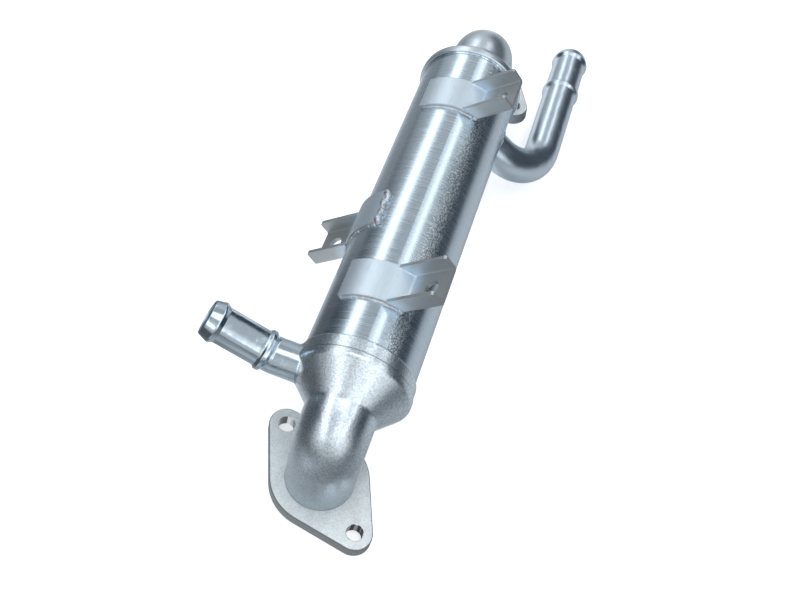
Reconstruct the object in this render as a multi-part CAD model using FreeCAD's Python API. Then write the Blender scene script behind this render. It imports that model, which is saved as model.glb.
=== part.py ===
import FreeCAD, Part
import math
import os

# Exhaust gas recirculation cooler, in millimetres.
# The origin is the centre of the inlet flange's mating face.
# X runs along the shell from the gas inlet to the gas outlet, Y points to the side of the
# straight hose stub, and Z points up, away from the face that the inlet flange bolts to.
# Gas goes up through the inlet flange, round the elbow, through the bundle of small tubes and
# down through the outlet flange. Coolant goes round the tubes from the stub to the bent pipe.

V = FreeCAD.Vector
os.makedirs("parts", exist_ok=True)

# shell
shell_od = 60.0
shell_wall = 1.5
shell_span = 219.2          # between the visible edges of the two gas boxes

# gas boxes: collar, round shoulder, cone and elbow in one casting
collar_wall = 1.4           # collar over the shell
collar_step = 0.5           # the body stands this much proud of the collar
collar_edge = 0.5           # rounding of the collar's rim
inlet_collar = 7.0
inlet_body = 4.1
outlet_body = 4.8
shoulder_round = 4.2
cone_length = 14.55
cone_foot = 0.3             # the cone ends this much wider than the elbow
box_wall = 3.7
elbow_od = 37.4
elbow_wall = 2.7
elbow_throat = 0.3          # inside radius of the elbow's bend
inlet_reach = 38.3          # elbow axis to the edge of the gas box
outlet_reach = 44.3
inlet_drop = 58.0           # shell axis to the flange's mating face
outlet_drop = 37.6
outlet_lean = -8.5          # the outlet elbow is turned this many degrees round the shell axis
inlet_lap = 2.8             # how far the shell goes into each gas box
outlet_lap = 3.0

# gas flanges
flange_thick = 8.0
flange_edge = 0.7
flange_seat = 3.0           # metal left under the elbow's end
bolt_hole = 9.0
inlet_spacing = 70.0        # between the two bolt holes
inlet_hub = 26.6            # radius of the round middle
inlet_lug = 9.6             # radius of each lug
inlet_turn = 50.5           # direction of the two holes in degrees, from X towards Y
outlet_spacing = 60.0
outlet_hub = 25.9
outlet_lug = 9.25
outlet_turn = 59.2

# tube bundle
gas_tube_od = 7.0
gas_tube_wall = 0.5
gas_tube_pitch = 8.6
tube_stick_out = 0.5
header_thick = 1.5
header_ledge = 1.5
inlet_header_depth = 18.9   # from the box edge to the ledge the inlet header sits on
outlet_header_inset = 5.0   # from the box edge back into the shell
baffle_thick = 1.0
baffle_cut = 9.0            # height of the segment each baffle leaves open
baffle_places = (0.33, 0.67)

# straight hose stub at the inlet end
stub_od = 19.6
stub_wall = 1.5
stub_setback = 10.0         # from the box edge to the stub's axis
stub_rise = 4.0             # stub axis above the shell axis
stub_port = 14.0            # hole through the gas box wall
stub_reach = 42.0           # shell axis to the point where the stub turns up
stub_turn = 19.0            # degrees
stub_bend = 11.5
stub_nozzle = 38.0          # from that point to the mouth
stub_stop = 33.2            # mouth to the middle of the stop bead

# bent coolant pipe at the outlet end
pipe_od = 22.4
pipe_wall = 1.5
pipe_setback = 21.2         # from the box edge back to the hole in the shell
pipe_angle = 34.0           # degrees below level at which the pipe leaves the shell
pipe_bend = 34.0
pipe_offset = 69.7          # shell axis to the pipe's straight run
pipe_straight = 93.6        # from the bend to the mouth
pipe_stop = 36.8            # mouth to the middle of the stop bead

# hose nozzle: a stop bead, and a second bead just behind the mouth
stop_high = 1.3
stop_wide = 4.8
stop_crown = 2.0
stop_round = 0.9
end_back = 5.6              # mouth to the crest of the end bead
end_high = 1.35
end_fall = 2.7              # length of the end bead's rear slope
end_round = 1.6
mouth_taper = 0.5
mouth_round = 0.4

# brackets: a strap round the shell that turns out into a channel with a hole
sheet = 2.2
sheet_bend = 2.0
strap_width = 24.0
strap_start = 0.0           # strap's free end in degrees, from the brackets' middle line
strap_lap = -7.0            # the side bracket's strap starts here instead
channel_edge = 0.7          # the channel is wider than the strap by this much on each side
channel_tilt = 45.0         # the middle line in degrees, from Z towards Y
channel_face = 13.6         # channel face above the shell axis, along that line
channel_end = 52.6
channel_inner = 0.9         # bend radii of the lips
channel_outer = 1.9
lip_high = 8.0
lip_round = 1.5
bracket_hole = 8.5
bracket_hole_out = 42.5
front_bracket_back = 36.5   # from the inlet gas box's edge
side_bracket_back = 87.0
rear_bracket_back = 37.8    # from the outlet gas box's edge

# fits
braze_gap = 0.05
touch_gap = 0.02
baffle_gap = 0.3
tube_slip = 0.1
past = 1.0                  # how far a cutter passes a face

X = V(1, 0, 0)
Y = V(0, 1, 0)
Z = V(0, 0, 1)
down = V(0, 0, -1)
shell_r = shell_od / 2
shell_in = shell_r - shell_wall
collar_r = shell_r + collar_wall
body_r = collar_r + collar_step
elbow_r = elbow_od / 2
bore_r = elbow_r - elbow_wall
elbow_bend = elbow_r + elbow_throat
axis_z = inlet_drop
inlet_edge = inlet_reach
outlet_edge = inlet_edge + shell_span
outlet_x = outlet_edge + outlet_reach
middle = V(0, 0, axis_z)


def outward(solid):
    # a revolved face can come out inside out
    if solid.Volume < 0:
        solid.reverse()
    return solid


def cylinder(radius, start, axis, length):
    return Part.makeCylinder(radius, length, start, axis)


def pipe_run(radius, bore, start, axis, length):
    hollow = cylinder(bore, start - axis * past, axis, length + 2 * past)
    return cylinder(radius, start, axis, length).cut(hollow)


def bend(start, along, side, bend_radius, radius, degrees, bore=0):
    # a round bar or pipe that starts at a point, heads one way and curls towards the side
    rims = [Part.Wire(Part.makeCircle(r, start, along)) for r in (radius, bore) if r > 0]
    face = Part.Face(rims)
    centre = start + side * bend_radius
    return outward(face.revolve(centre, along.cross(side), degrees))


def spin(points, start, axis):
    # a solid of revolution from (distance, radius) points, where a third number rounds the corner
    edges = []
    count = len(points)
    ends = []
    for k, point in enumerate(points):
        corner = V(point[0], 0, point[1])
        rounding = point[2] if len(point) > 2 else 0
        if not rounding:
            ends.append((corner, corner))
            continue
        before = V(points[k - 1][0], 0, points[k - 1][1])
        after = V(points[(k + 1) % count][0], 0, points[(k + 1) % count][1])
        u = (before - corner).normalize()
        v = (after - corner).normalize()
        half = u.getAngle(v) / 2
        run = rounding / math.tan(half)
        towards = (u + v).normalize()
        crown = corner + towards * (rounding / math.sin(half) - rounding)
        ends.append((corner + u * run, corner + v * run))
        edges.append(Part.Arc(corner + u * run, crown, corner + v * run).toShape())
    for k in range(count):
        a = ends[k][1]
        b = ends[(k + 1) % count][0]
        edges.append(Part.makeLine(a, b))
    outline = Part.Wire(Part.__sortEdges__(edges))
    solid = outward(Part.Face(outline).revolve(V(0, 0, 0), X, 360))
    solid.Placement = FreeCAD.Placement(start, FreeCAD.Rotation(X, axis))
    return solid


def biggest(shape):
    return max(shape.Solids, key=lambda s: s.Volume)


def save(name, shape):
    solids = shape.Solids
    if len(solids) == 1:
        shape = solids[0]
    shape.exportStep("parts/" + name + ".step")


def housing():
    # the shell, with a round port where the bent pipe leaves it
    x0 = inlet_edge - inlet_lap + touch_gap
    x1 = outlet_edge + outlet_lap - touch_gap
    tube = pipe_run(shell_r, shell_in, V(x0, 0, axis_z), X, x1 - x0)
    port = cylinder(pipe_od / 2 - pipe_wall, pipe_foot(), pipe_way(), shell_od)
    return tube.cut(port)


def box_outline(collar, body, grow=0):
    # outer form of a gas box, as (distance from its edge, radius), away from the shell
    corner = collar + body
    cone_end = corner + cone_length
    first_r = collar_r if collar else body_r
    points = [(0, 0), (0, first_r + grow, collar_edge)]
    if collar:
        points.append((collar, collar_r + grow))
        points.append((collar + collar_step, body_r + grow))
    points.append((corner, body_r + grow, shoulder_round))
    points.append((cone_end, elbow_r + cone_foot + grow))
    points.append((cone_end, 0))
    return points


def hollow_slope(collar, body):
    # how fast the hollow narrows inside the cone
    return (body_r - box_wall - bore_r) / cone_length


def header_radius(collar, body):
    # the header is as wide as the hollow is where it sits
    face = inlet_header_depth - header_thick - braze_gap
    inside = max(0.0, face - collar - body)
    return body_r - box_wall - inside * hollow_slope(collar, body)


def box_hollow(collar, body, lap, ledge):
    # socket for the shell, the space behind it, a pocket for the header, and the cone to the bore
    corner = collar + body
    space_r = body_r - box_wall
    socket_r = shell_r + braze_gap
    points = [(-past, 0), (-past, socket_r), (lap, socket_r), (lap, space_r), (corner, space_r)]
    if ledge:
        seat_r = header_radius(collar, body)
        points.append((corner + (space_r - seat_r) / hollow_slope(collar, body), seat_r))
        points.append((ledge, seat_r))
        points.append((ledge, seat_r - header_ledge))
    points.append((corner + cone_length + past, bore_r))
    points.append((corner + cone_length + past, 0))
    return points


def gas_box(edge, away, elbow_x, collar, body, lap, ledge, drop):
    start = V(edge, 0, axis_z)
    outer = spin(box_outline(collar, body), start, away)
    inner = spin(box_hollow(collar, body, lap, ledge), start, away)
    turn = V(elbow_x, 0, axis_z) - away * elbow_bend
    foot = V(elbow_x, 0, axis_z - elbow_bend)
    leg = drop - flange_seat - touch_gap - elbow_bend
    straight = max(0.0, abs(elbow_x - edge) - elbow_bend - collar - body - cone_length)
    forms = []
    bars = ((elbow_r, straight + box_wall, 0), (bore_r, straight + 2 * past, past))
    for radius, back, extra in bars:
        run = cylinder(radius, turn - away * back, away, back)
        curl = bend(turn, away, down, elbow_bend, radius, 90)
        leg_bar = cylinder(radius, foot, down, leg + extra)
        forms.append([run, curl, leg_bar])
    outer = outer.fuse(forms[0])
    inner = inner.fuse(forms[1])
    return outer.cut(inner).removeSplitter()


def flange(centre_x, drop, turn, spacing, hub_r, lug_r):
    # diamond plate: round middle, two lugs, straight sides that run smoothly into both
    half = spacing / 2
    lean = math.asin((hub_r - lug_r) / half)
    edges = []
    lugs = []
    hubs = []
    for sign in (1, -1):
        a = V(sign * (half + lug_r * math.sin(lean)), lug_r * math.cos(lean), 0)
        b = V(sign * (half + lug_r), 0, 0)
        c = V(a.x, -a.y, 0)
        edges.append(Part.Arc(a, b, c).toShape())
        lugs.append((a, c))
    for side in (1, -1):
        p = V(hub_r * math.sin(lean), side * hub_r * math.cos(lean), 0)
        q = V(-p.x, p.y, 0)
        edges.append(Part.Arc(p, V(0, side * hub_r, 0), q).toShape())
        hubs.append((p, q))
    edges.append(Part.makeLine(lugs[0][0], hubs[0][0]))
    edges.append(Part.makeLine(hubs[0][1], lugs[1][0]))
    edges.append(Part.makeLine(lugs[1][1], hubs[1][1]))
    edges.append(Part.makeLine(hubs[1][0], lugs[0][1]))
    outline = Part.Wire(Part.__sortEdges__(edges))
    plate = Part.Face(outline).extrude(V(0, 0, flange_thick))
    rims = [e for e in plate.Edges if e.BoundBox.ZLength < touch_gap]
    plate = plate.makeFillet(flange_edge, rims)
    through = flange_thick + 2 * past
    for sign in (1, -1):
        plate = plate.cut(cylinder(bolt_hole / 2, V(sign * half, 0, -past), Z, through))
    plate = plate.cut(cylinder(bore_r, V(0, 0, -past), Z, through))
    plate = plate.cut(cylinder(elbow_r + braze_gap, V(0, 0, flange_seat), Z, flange_thick))
    plate.rotate(V(0, 0, 0), Z, turn)
    plate.translate(V(centre_x, 0, axis_z - drop))
    return plate


def bundle_places():
    # nineteen places in a hexagon round the middle
    rows = 2
    places = []
    for row in range(-rows, rows + 1):
        count = 2 * rows + 1 - abs(row)
        for k in range(count):
            y = (k - (count - 1) / 2) * gas_tube_pitch
            z = row * gas_tube_pitch * math.sqrt(3) / 2
            places.append((y, z))
    return places


def pierced_disc(radius, x, thick, gap):
    disc = cylinder(radius, V(x, 0, axis_z), X, thick)
    holes = []
    for y, z in bundle_places():
        holes.append(cylinder(gas_tube_od / 2 + gap, V(x - past, y, axis_z + z), X, thick + 2 * past))
    return disc.cut(holes)


def baffle(x, lower):
    # a disc with one segment left open, at the bottom or at the top
    disc = pierced_disc(shell_in - baffle_gap, x, baffle_thick, tube_slip)
    chord = shell_in - baffle_cut
    low = axis_z - chord - shell_od if lower else axis_z + chord
    segment = Part.makeBox(baffle_thick + 2 * past, shell_od, shell_od, V(x - past, -shell_r, low))
    return disc.cut(segment)


def gas_tube(start_x, end_x, y, z):
    start = V(start_x, y, axis_z + z)
    return pipe_run(gas_tube_od / 2, gas_tube_od / 2 - gas_tube_wall, start, X, end_x - start_x)


def nozzle_outline(radius, length, stop_back):
    # hose nozzle with its mouth at the far end
    stop = length - stop_back
    crest = length - end_back
    top = radius + stop_high
    foot = stop - stop_wide / 2
    return [
        (0, 0),
        (0, radius),
        (foot, radius, min(stop_round, 2 * foot)),
        (stop - stop_crown / 2, top, stop_round),
        (stop + stop_crown / 2, top, stop_round),
        (stop + stop_wide / 2, radius, stop_round),
        (crest - end_fall, radius, stop_round),
        (crest, radius + end_high, end_round),
        (length, radius - mouth_taper, mouth_round),
        (length, 0),
    ]


def nozzle(radius, bore, start, axis, length, stop_back):
    hollow = cylinder(bore, start - axis * past, axis, length + 2 * past)
    return spin(nozzle_outline(radius, length, stop_back), start, axis).cut(hollow)


def stub_foot():
    return V(inlet_edge - stub_setback, 0, axis_z + stub_rise)


def hose_stub():
    # leaves the inlet gas box sideways, turns up a little and ends in a hose nozzle
    radius = stub_od / 2
    bore = radius - stub_wall
    up = math.radians(stub_turn)
    run = stub_bend * math.tan(up / 2)
    corner = stub_foot() + Y * stub_reach
    head = V(0, math.cos(up), math.sin(up))
    root = stub_foot() + Y * elbow_r
    knee = corner - Y * run
    straight = pipe_run(radius, bore, root, Y, knee.y - root.y)
    inside = spin(box_outline(inlet_collar, inlet_body, touch_gap), V(inlet_edge, 0, axis_z), X * -1)
    straight = biggest(straight.cut(inside))
    curl = bend(knee, Y, Z, stub_bend, radius, stub_turn, bore)
    nose = nozzle(radius, bore, corner + head * run, head, stub_nozzle - run, stub_stop)
    return straight.fuse([curl, nose]).removeSplitter()


def pipe_way():
    low = math.radians(pipe_angle)
    return V(0, -math.cos(low), -math.sin(low))


def pipe_foot():
    return V(outlet_edge - pipe_setback, 0, axis_z)


def bent_pipe():
    # leaves the shell low on the far side and curls round to run along it
    radius = pipe_od / 2
    bore = radius - pipe_wall
    way = pipe_way()
    root = pipe_foot() + way * (shell_in - sheet)
    turn = pipe_foot() + way * (pipe_offset - pipe_bend)
    start = pipe_foot() + X * pipe_bend + way * pipe_offset
    straight = pipe_run(radius, bore, root, way, (turn - root).Length)
    straight = biggest(straight.cut(cylinder(shell_r + touch_gap, middle, X, outlet_x)))
    curl = bend(turn, way, X, pipe_bend, radius, 90, bore)
    nose = nozzle(radius, bore, start, X, pipe_straight, pipe_stop)
    return straight.fuse([curl, nose]).removeSplitter()


def on_circle(radius, angle):
    return V(0, radius * math.sin(angle), radius * math.cos(angle))


def edges_at(shape, x=None, y=None, z=None):
    # straight edges that lie on the given coordinates
    found = []
    for edge in shape.Edges:
        if not isinstance(edge.Curve, Part.Line):
            continue
        ends = [vertex.Point for vertex in edge.Vertexes]
        for want, got in ((x, [e.x for e in ends]), (y, [e.y for e in ends]), (z, [e.z for e in ends])):
            if want is not None and max(abs(g - want) for g in got) > touch_gap / 2:
                break
        else:
            found.append(edge)
    return found


def bracket(x, flip, start_angle):
    # drawn with Y out along the channel and Z up from its face, then turned onto the shell
    inner = shell_r + touch_gap
    outer = inner + sheet
    top = channel_face
    low = top - sheet
    lip_top = top + lip_high
    half = strap_width / 2 + channel_edge
    y_top = math.sqrt(outer ** 2 - top ** 2)
    y_low = math.sqrt(inner ** 2 - low ** 2)
    y_lip = math.sqrt(outer ** 2 - lip_top ** 2)
    free = math.radians(start_angle)
    fold = math.asin(y_top / outer)
    foot = math.asin(y_low / inner)
    shell_space = cylinder(inner, V(-strap_width, 0, 0), X, 2 * strap_width)
    strap_space = cylinder(outer - sheet / 4, V(-strap_width, 0, 0), X, 2 * strap_width)

    # strap and channel floor, bent from one strip
    p = [on_circle(outer, free), V(0, y_top, top), V(0, channel_end, top)]
    p += [V(0, channel_end, low), V(0, y_low, low), on_circle(inner, free)]
    edges = [
        Part.Arc(p[0], on_circle(outer, (free + fold) / 2), p[1]).toShape(),
        Part.makeLine(p[1], p[2]),
        Part.makeLine(p[2], p[3]),
        Part.makeLine(p[3], p[4]),
        Part.Arc(p[4], on_circle(inner, (free + foot) / 2), p[5]).toShape(),
        Part.makeLine(p[5], p[0]),
    ]
    body = Part.Face(Part.Wire(edges)).extrude(X * strap_width)
    body.translate(X * (-strap_width / 2))
    body = body.makeFillet(sheet_bend, edges_at(body, y=y_top, z=top))

    # the two lips along the channel's edges, which end on the strap
    lip_corners = ((y_low, low), (channel_end, low), (channel_end, lip_top), (y_lip, lip_top))
    for side in (1, -1):
        q = [V(side * half, y, z) for y, z in lip_corners]
        lip = Part.Face(Part.makePolygon(q + [q[0]])).extrude(X * (-side * sheet))
        lip = lip.makeFillet(lip_round, edges_at(lip, y=channel_end, z=lip_top))
        body = body.fuse(lip.cut(strap_space))
    body = body.removeSplitter()
    bends = edges_at(body, x=half, z=low) + edges_at(body, x=-half, z=low)
    body = body.makeFillet(channel_outer, bends)
    bends = edges_at(body, x=half - sheet, z=top) + edges_at(body, x=sheet - half, z=top)
    body = body.makeFillet(channel_inner, bends)
    hole = cylinder(bracket_hole / 2, V(0, bracket_hole_out, low - past), Z, sheet + 2 * past)
    body = body.cut(hole).cut(shell_space)
    if flip:
        body = body.mirror(V(0, 0, 0), Y)
    tilt = FreeCAD.Rotation(X, -channel_tilt).multiply(FreeCAD.Rotation(Z, 180))
    body.Placement = FreeCAD.Placement(V(x, 0, axis_z), tilt)
    return body


port = cylinder(stub_port / 2, stub_foot() + Y * elbow_r, Y, shell_od)
inlet_box = gas_box(
    inlet_edge, X * -1, 0, inlet_collar, inlet_body, inlet_lap, inlet_header_depth, inlet_drop
)
outlet_box = gas_box(outlet_edge, X, outlet_x, 0, outlet_body, outlet_lap, 0, outlet_drop)
outlet_plate = flange(outlet_x, outlet_drop, outlet_turn, outlet_spacing, outlet_hub, outlet_lug)
for piece in (outlet_box, outlet_plate):
    piece.rotate(middle, X, outlet_lean)
save("housing_tube", housing())
save("inlet_gas_box", inlet_box.cut(port))
save("outlet_gas_box", outlet_box)
save("inlet_flange", flange(0, inlet_drop, inlet_turn, inlet_spacing, inlet_hub, inlet_lug))
save("outlet_flange", outlet_plate)

inlet_header_x = inlet_edge - inlet_header_depth + touch_gap
inlet_header_r = header_radius(inlet_collar, inlet_body) - braze_gap
outlet_header_x = outlet_edge - outlet_header_inset
save("inlet_header", pierced_disc(inlet_header_r, inlet_header_x, header_thick, braze_gap))
save("outlet_header", pierced_disc(shell_in - braze_gap, outlet_header_x, header_thick, braze_gap))

tube_start = inlet_header_x - tube_stick_out
tube_end = outlet_header_x + header_thick + tube_stick_out
for number, (y, z) in enumerate(bundle_places(), 1):
    save("gas_tube_%02d" % number, gas_tube(tube_start, tube_end, y, z))
save("baffle_front", baffle(inlet_edge + shell_span * baffle_places[0], True))
save("baffle_rear", baffle(inlet_edge + shell_span * baffle_places[1], False))

save("coolant_inlet_stub", hose_stub())
save("coolant_outlet_pipe", bent_pipe())
save("bracket_front", bracket(inlet_edge + front_bracket_back, False, strap_start))
save("bracket_rear", bracket(outlet_edge - rear_bracket_back, False, strap_start))
save("bracket_side", bracket(inlet_edge + side_bracket_back, True, strap_lap))
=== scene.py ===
import math

import bpy
import numpy as np
from bpy.props import FloatProperty, FloatVectorProperty, IntProperty, PointerProperty
from bpy.types import Operator, Panel, PropertyGroup
from mathutils import Matrix


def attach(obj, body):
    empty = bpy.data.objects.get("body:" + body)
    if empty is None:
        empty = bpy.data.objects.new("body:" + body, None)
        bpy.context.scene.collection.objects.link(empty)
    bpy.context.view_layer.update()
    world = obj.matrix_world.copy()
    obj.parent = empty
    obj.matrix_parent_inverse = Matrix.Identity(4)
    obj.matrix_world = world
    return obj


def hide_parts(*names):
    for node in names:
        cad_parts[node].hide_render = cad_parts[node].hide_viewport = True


bl_info = {
    "name": "Exhaust Gas Cooler",
    "version": (1, 0, 0),
    "blender": (4, 5, 0),
    "location": "3D View > Sidebar > Cooler",
    "description": "Dresses the packed solids of an exhaust gas recirculation cooler",
    "category": "Object",
}

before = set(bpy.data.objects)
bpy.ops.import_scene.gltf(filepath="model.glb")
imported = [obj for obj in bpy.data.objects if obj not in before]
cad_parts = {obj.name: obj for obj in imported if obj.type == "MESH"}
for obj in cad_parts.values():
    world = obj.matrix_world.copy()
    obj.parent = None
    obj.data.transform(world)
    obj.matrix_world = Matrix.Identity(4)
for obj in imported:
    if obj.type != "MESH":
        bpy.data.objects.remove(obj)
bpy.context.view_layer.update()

# Every length below is in millimetres and every angle in degrees, as in the solids, until a mesh is made.
MM = 0.001
SHELL_R = 30.0
AXIS_Z = 58.0
INLET_EDGE = 38.3
OUTLET_EDGE = 257.5

# gas boxes
COLLAR_R = 31.4
COLLAR_LENGTH = 7.0
BODY_R = 31.9
BOX_WALL = 3.7
CONE_LENGTH = 14.55
CONE_END_R = 19.0
ELBOW_R = 18.7
ELBOW_BEND = 19.0
BORE_R = 16.0
FLANGE_THICK = 8.0
FOOT_HEIGHT = 3.02
HOLE_R = 4.5
OUTLET_LEAN = -8.5

# Each flange's node and middle, its holes' distance from there, and how the holes and the elbow are turned.
FLANGES = (
    ("inlet_flange", (0.0, 0.0, 4.0), 35.0, 50.5, 0.0),
    ("outlet_flange", (301.8, -5.56, 20.81), 30.0, 59.2, OUTLET_LEAN),
)

# hose stub
STUB_X = 28.3
STUB_Z = 62.0
STUB_R = 9.8
STUB_BORE = 8.3
STUB_REACH = 42.0
STUB_END = 38.0
STUB_BEND = 11.5
STUB_TURN = 19.0
BOSS_R = 9.6
BOSS_END = 32.0
STUB_ROUGH = 0.17

# bent pipe
PIPE_X = 236.3
PIPE_R = 11.2
PIPE_BORE = 9.7
PIPE_REACH = 69.7
PIPE_END = 93.6
PIPE_BEND = 34.0
PIPE_TURN = 90.0
PIPE_ANGLE = 34.0
PIPE_ROUGH = 0.27

# Each bracket's middle along X, and 1 where its channel is on the bent pipe's side or -1 on the other.
BRACKETS = {"bracket_front": (74.8, 1), "bracket_rear": (219.7, 1), "bracket_side": (125.3, -1)}
STRAP_HALF = 12.0
FOLD_ANGLE = -20.0
FREE_ANGLES = {1: 45.0, -1: 38.0}
SIDE_FOLD = 110.0
# A strap's edge line has this many places, and the side bracket's lower weld starts at that one.
EDGE_PLACES = 80
LOWER_FROM = 30

# Each long lamp's name, angle from straight up towards the hose stub, width, brightness, first and last x.
LONG_LAMPS = (
    ("lamp_left", 41.0, 370.0, 0.92, -2000.0, 1950.0),
    ("lamp_middle", -11.0, 190.0, 1.0, -2000.0, 1950.0),
    ("lamp_right", -37.0, 200.0, 1.0, -2000.0, 870.0),
)
LAMP_REACH = 1100.0
FLOOR_HALF = 4000.0
FLOOR_Z = -0.6

BLACK = (0.0, 0.0, 0.0)
WHITE = (1.0, 1.0, 1.0)
X_WAY = np.array([1.0, 0.0, 0.0])


# Settings


class CoolerSizes(PropertyGroup):
    crease: FloatProperty(
        name="Crease", description="How softly the elbow runs into the cone, in millimetres",
        default=0.8, min=0.1,
    )
    groove: FloatProperty(
        name="Groove", description="Depth of the line between collar and body, in millimetres",
        default=0.35, min=0.0,
    )
    weld: FloatProperty(
        name="Weld", description="Radius of the welds on the brackets, in millimetres",
        default=0.8, min=0.1,
    )
    root_weld: FloatProperty(
        name="Root weld", description="Radius of the weld round the bent pipe, in millimetres",
        default=1.3, min=0.1,
    )
    around: IntProperty(name="Steps around", description="Faces round each gas box", default=176, min=24)


class CoolerFinish(PropertyGroup):
    steel: FloatVectorProperty(
        name="Steel", description="Colour of the bright steel",
        subtype="COLOR", default=(0.60, 0.71, 0.80), min=0, max=1,
    )
    blasted: FloatVectorProperty(
        name="Blasted", description="Colour of the blasted castings",
        subtype="COLOR", default=(0.70, 0.79, 0.86), min=0, max=1,
    )
    plate: FloatVectorProperty(
        name="Plate", description="Colour of the flanges",
        subtype="COLOR", default=(0.82, 0.88, 0.92), min=0, max=1,
    )
    sheet: FloatVectorProperty(
        name="Sheet", description="Colour of the brackets",
        subtype="COLOR", default=(0.67, 0.78, 0.87), min=0, max=1,
    )
    scale_brown: FloatVectorProperty(
        name="Weld tint", description="Heat tint beside the welds",
        subtype="COLOR", default=(0.62, 0.55, 0.50), min=0, max=1,
    )
    brush: FloatProperty(
        name="Brush", description="Strength of the lines round the shell", default=0.09, min=0, max=1
    )


class CoolerStage(PropertyGroup):
    lens: FloatProperty(
        name="Lens", description="Focal length of the camera", default=48.42, min=1, unit="CAMERA"
    )
    lamp: FloatProperty(
        name="Lamps", description="Brightness of the long lamps, where 1 is white", default=1.9, min=0
    )
    ceiling: FloatProperty(
        name="Ceiling", description="Brightness overhead, where 1 is white", default=0.42, min=0
    )
    walls: FloatVectorProperty(
        name="Walls", description="Colour of the two side walls",
        subtype="COLOR", default=(0.03, 0.043, 0.06), min=0, max=1,
    )
    front: FloatProperty(
        name="Front wall", description="Brightness behind the camera", default=0.58, min=0
    )
    floor: FloatProperty(
        name="Floor", description="Brightness of the floor in reflections", default=0.6, min=0
    )


# Shader expressions


class Sock:
    """A socket or number of one node tree. + - * / and their reflected forms add Math nodes."""

    def __init__(self, tree, value):
        self.tree = tree
        self.value = value

    def math(self, operation, *others):
        return self.tree.node("ShaderNodeMath", {"operation": operation}, [self, *others])[0]

    def __add__(self, other):
        return self.math("ADD", other)

    def __radd__(self, other):
        return self.math("ADD", other)

    def __sub__(self, other):
        return self.math("SUBTRACT", other)

    def __rsub__(self, other):
        return Sock(self.tree, other).math("SUBTRACT", self)

    def __mul__(self, other):
        return self.math("MULTIPLY", other)

    def __rmul__(self, other):
        return self.math("MULTIPLY", other)

    def __truediv__(self, other):
        return self.math("DIVIDE", other)

    def __rtruediv__(self, other):
        return Sock(self.tree, other).math("DIVIDE", self)

    def __neg__(self):
        return self.math("MULTIPLY", -1.0)

    def apart(self, place):
        """How far a number is from that one, on either side."""
        return (self - place).math("ABSOLUTE")

    def ramp(self, low, high, smooth=True):
        """0 at low and 1 at high, with soft ends if smooth."""
        settings = {"interpolation_type": "SMOOTHSTEP" if smooth else "LINEAR"}
        inputs = {"Value": self, "From Min": low, "From Max": high}
        return self.tree.node("ShaderNodeMapRange", settings, inputs)[0]


class Shade:
    """The node tree of one material or world, and the few ways that nodes are added to it."""

    def __init__(self, tree):
        self.nodes = tree.nodes
        self.links = tree.links
        self.nodes.clear()

    def node(self, kind, settings=None, inputs=None):
        """Adds a node: its settings first, then the values or links of its sockets. Gives its outputs."""
        made = self.nodes.new(kind)
        for key, value in (settings or {}).items():
            setattr(made, key, value)
        pairs = inputs.items() if isinstance(inputs, dict) else enumerate(inputs or [])
        for key, value in pairs:
            self.feed(made.inputs[key], value)
        return [Sock(self, out) for out in made.outputs]

    def feed(self, socket, value):
        value = value.value if isinstance(value, Sock) else value
        if isinstance(value, bpy.types.NodeSocket):
            self.links.new(value, socket)
        elif isinstance(value, (int, float)):
            socket.default_value = value
        else:
            wanted = len(socket.default_value)
            socket.default_value = (tuple(value) + (1.0,))[:wanted]

    def place(self):
        """Object coordinates in metres, as one vector."""
        return self.node("ShaderNodeTexCoord")[3]

    def split(self, vector):
        """The x, y and z of a vector."""
        return self.node("ShaderNodeSeparateXYZ", None, [vector])

    def stretch(self, vector, scale):
        return self.node("ShaderNodeMapping", None, {0: vector, "Scale": scale})[0]

    def noise(self, vector, scale, detail=2.0, rough=0.5):
        inputs = {"Vector": vector, "Scale": scale, "Detail": detail, "Roughness": rough}
        return self.node("ShaderNodeTexNoise", {"noise_dimensions": "3D"}, inputs)[0]

    def mix(self, share, first, second):
        """A colour between two, where share 0 is the first."""
        return self.node("ShaderNodeMix", {"data_type": "RGBA"}, {0: share, 6: first, 7: second})[2]

    def bump(self, height, distance, strength, normal=None):
        """A normal from a height times the distance in metres, over another normal where one is given."""
        inputs = {"Height": height, "Distance": distance, "Strength": strength}
        if normal is not None:
            inputs["Normal"] = normal
        return self.node("ShaderNodeBump", None, inputs)[0]


def metal(name, paint):
    """The steel of that name, made when it is first asked for. paint(shade) gives its shader's inputs."""
    made = bpy.data.materials.get(name)
    if made is None:
        made = bpy.data.materials.new(name)
        made.use_nodes = True
        shade = Shade(made.node_tree)
        shader = shade.node("ShaderNodeBsdfPrincipled", None, {"Metallic": 1.0, **paint(shade)})
        shade.node("ShaderNodeOutputMaterial", None, {0: shader[0]})
    return made


def tone(colour, share):
    """A colour made darker or lighter, up to 1."""
    return [min(1.0, part * share) for part in colour]


def round_shell(y, z):
    """The direction round the shell's axis, as y and z parts of a unit vector, and the distance from it."""
    rise = z - AXIS_Z * MM
    reach = (y * y + rise * rise + 1e-9).math("SQRT")
    return y / reach, rise / reach, reach


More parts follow.
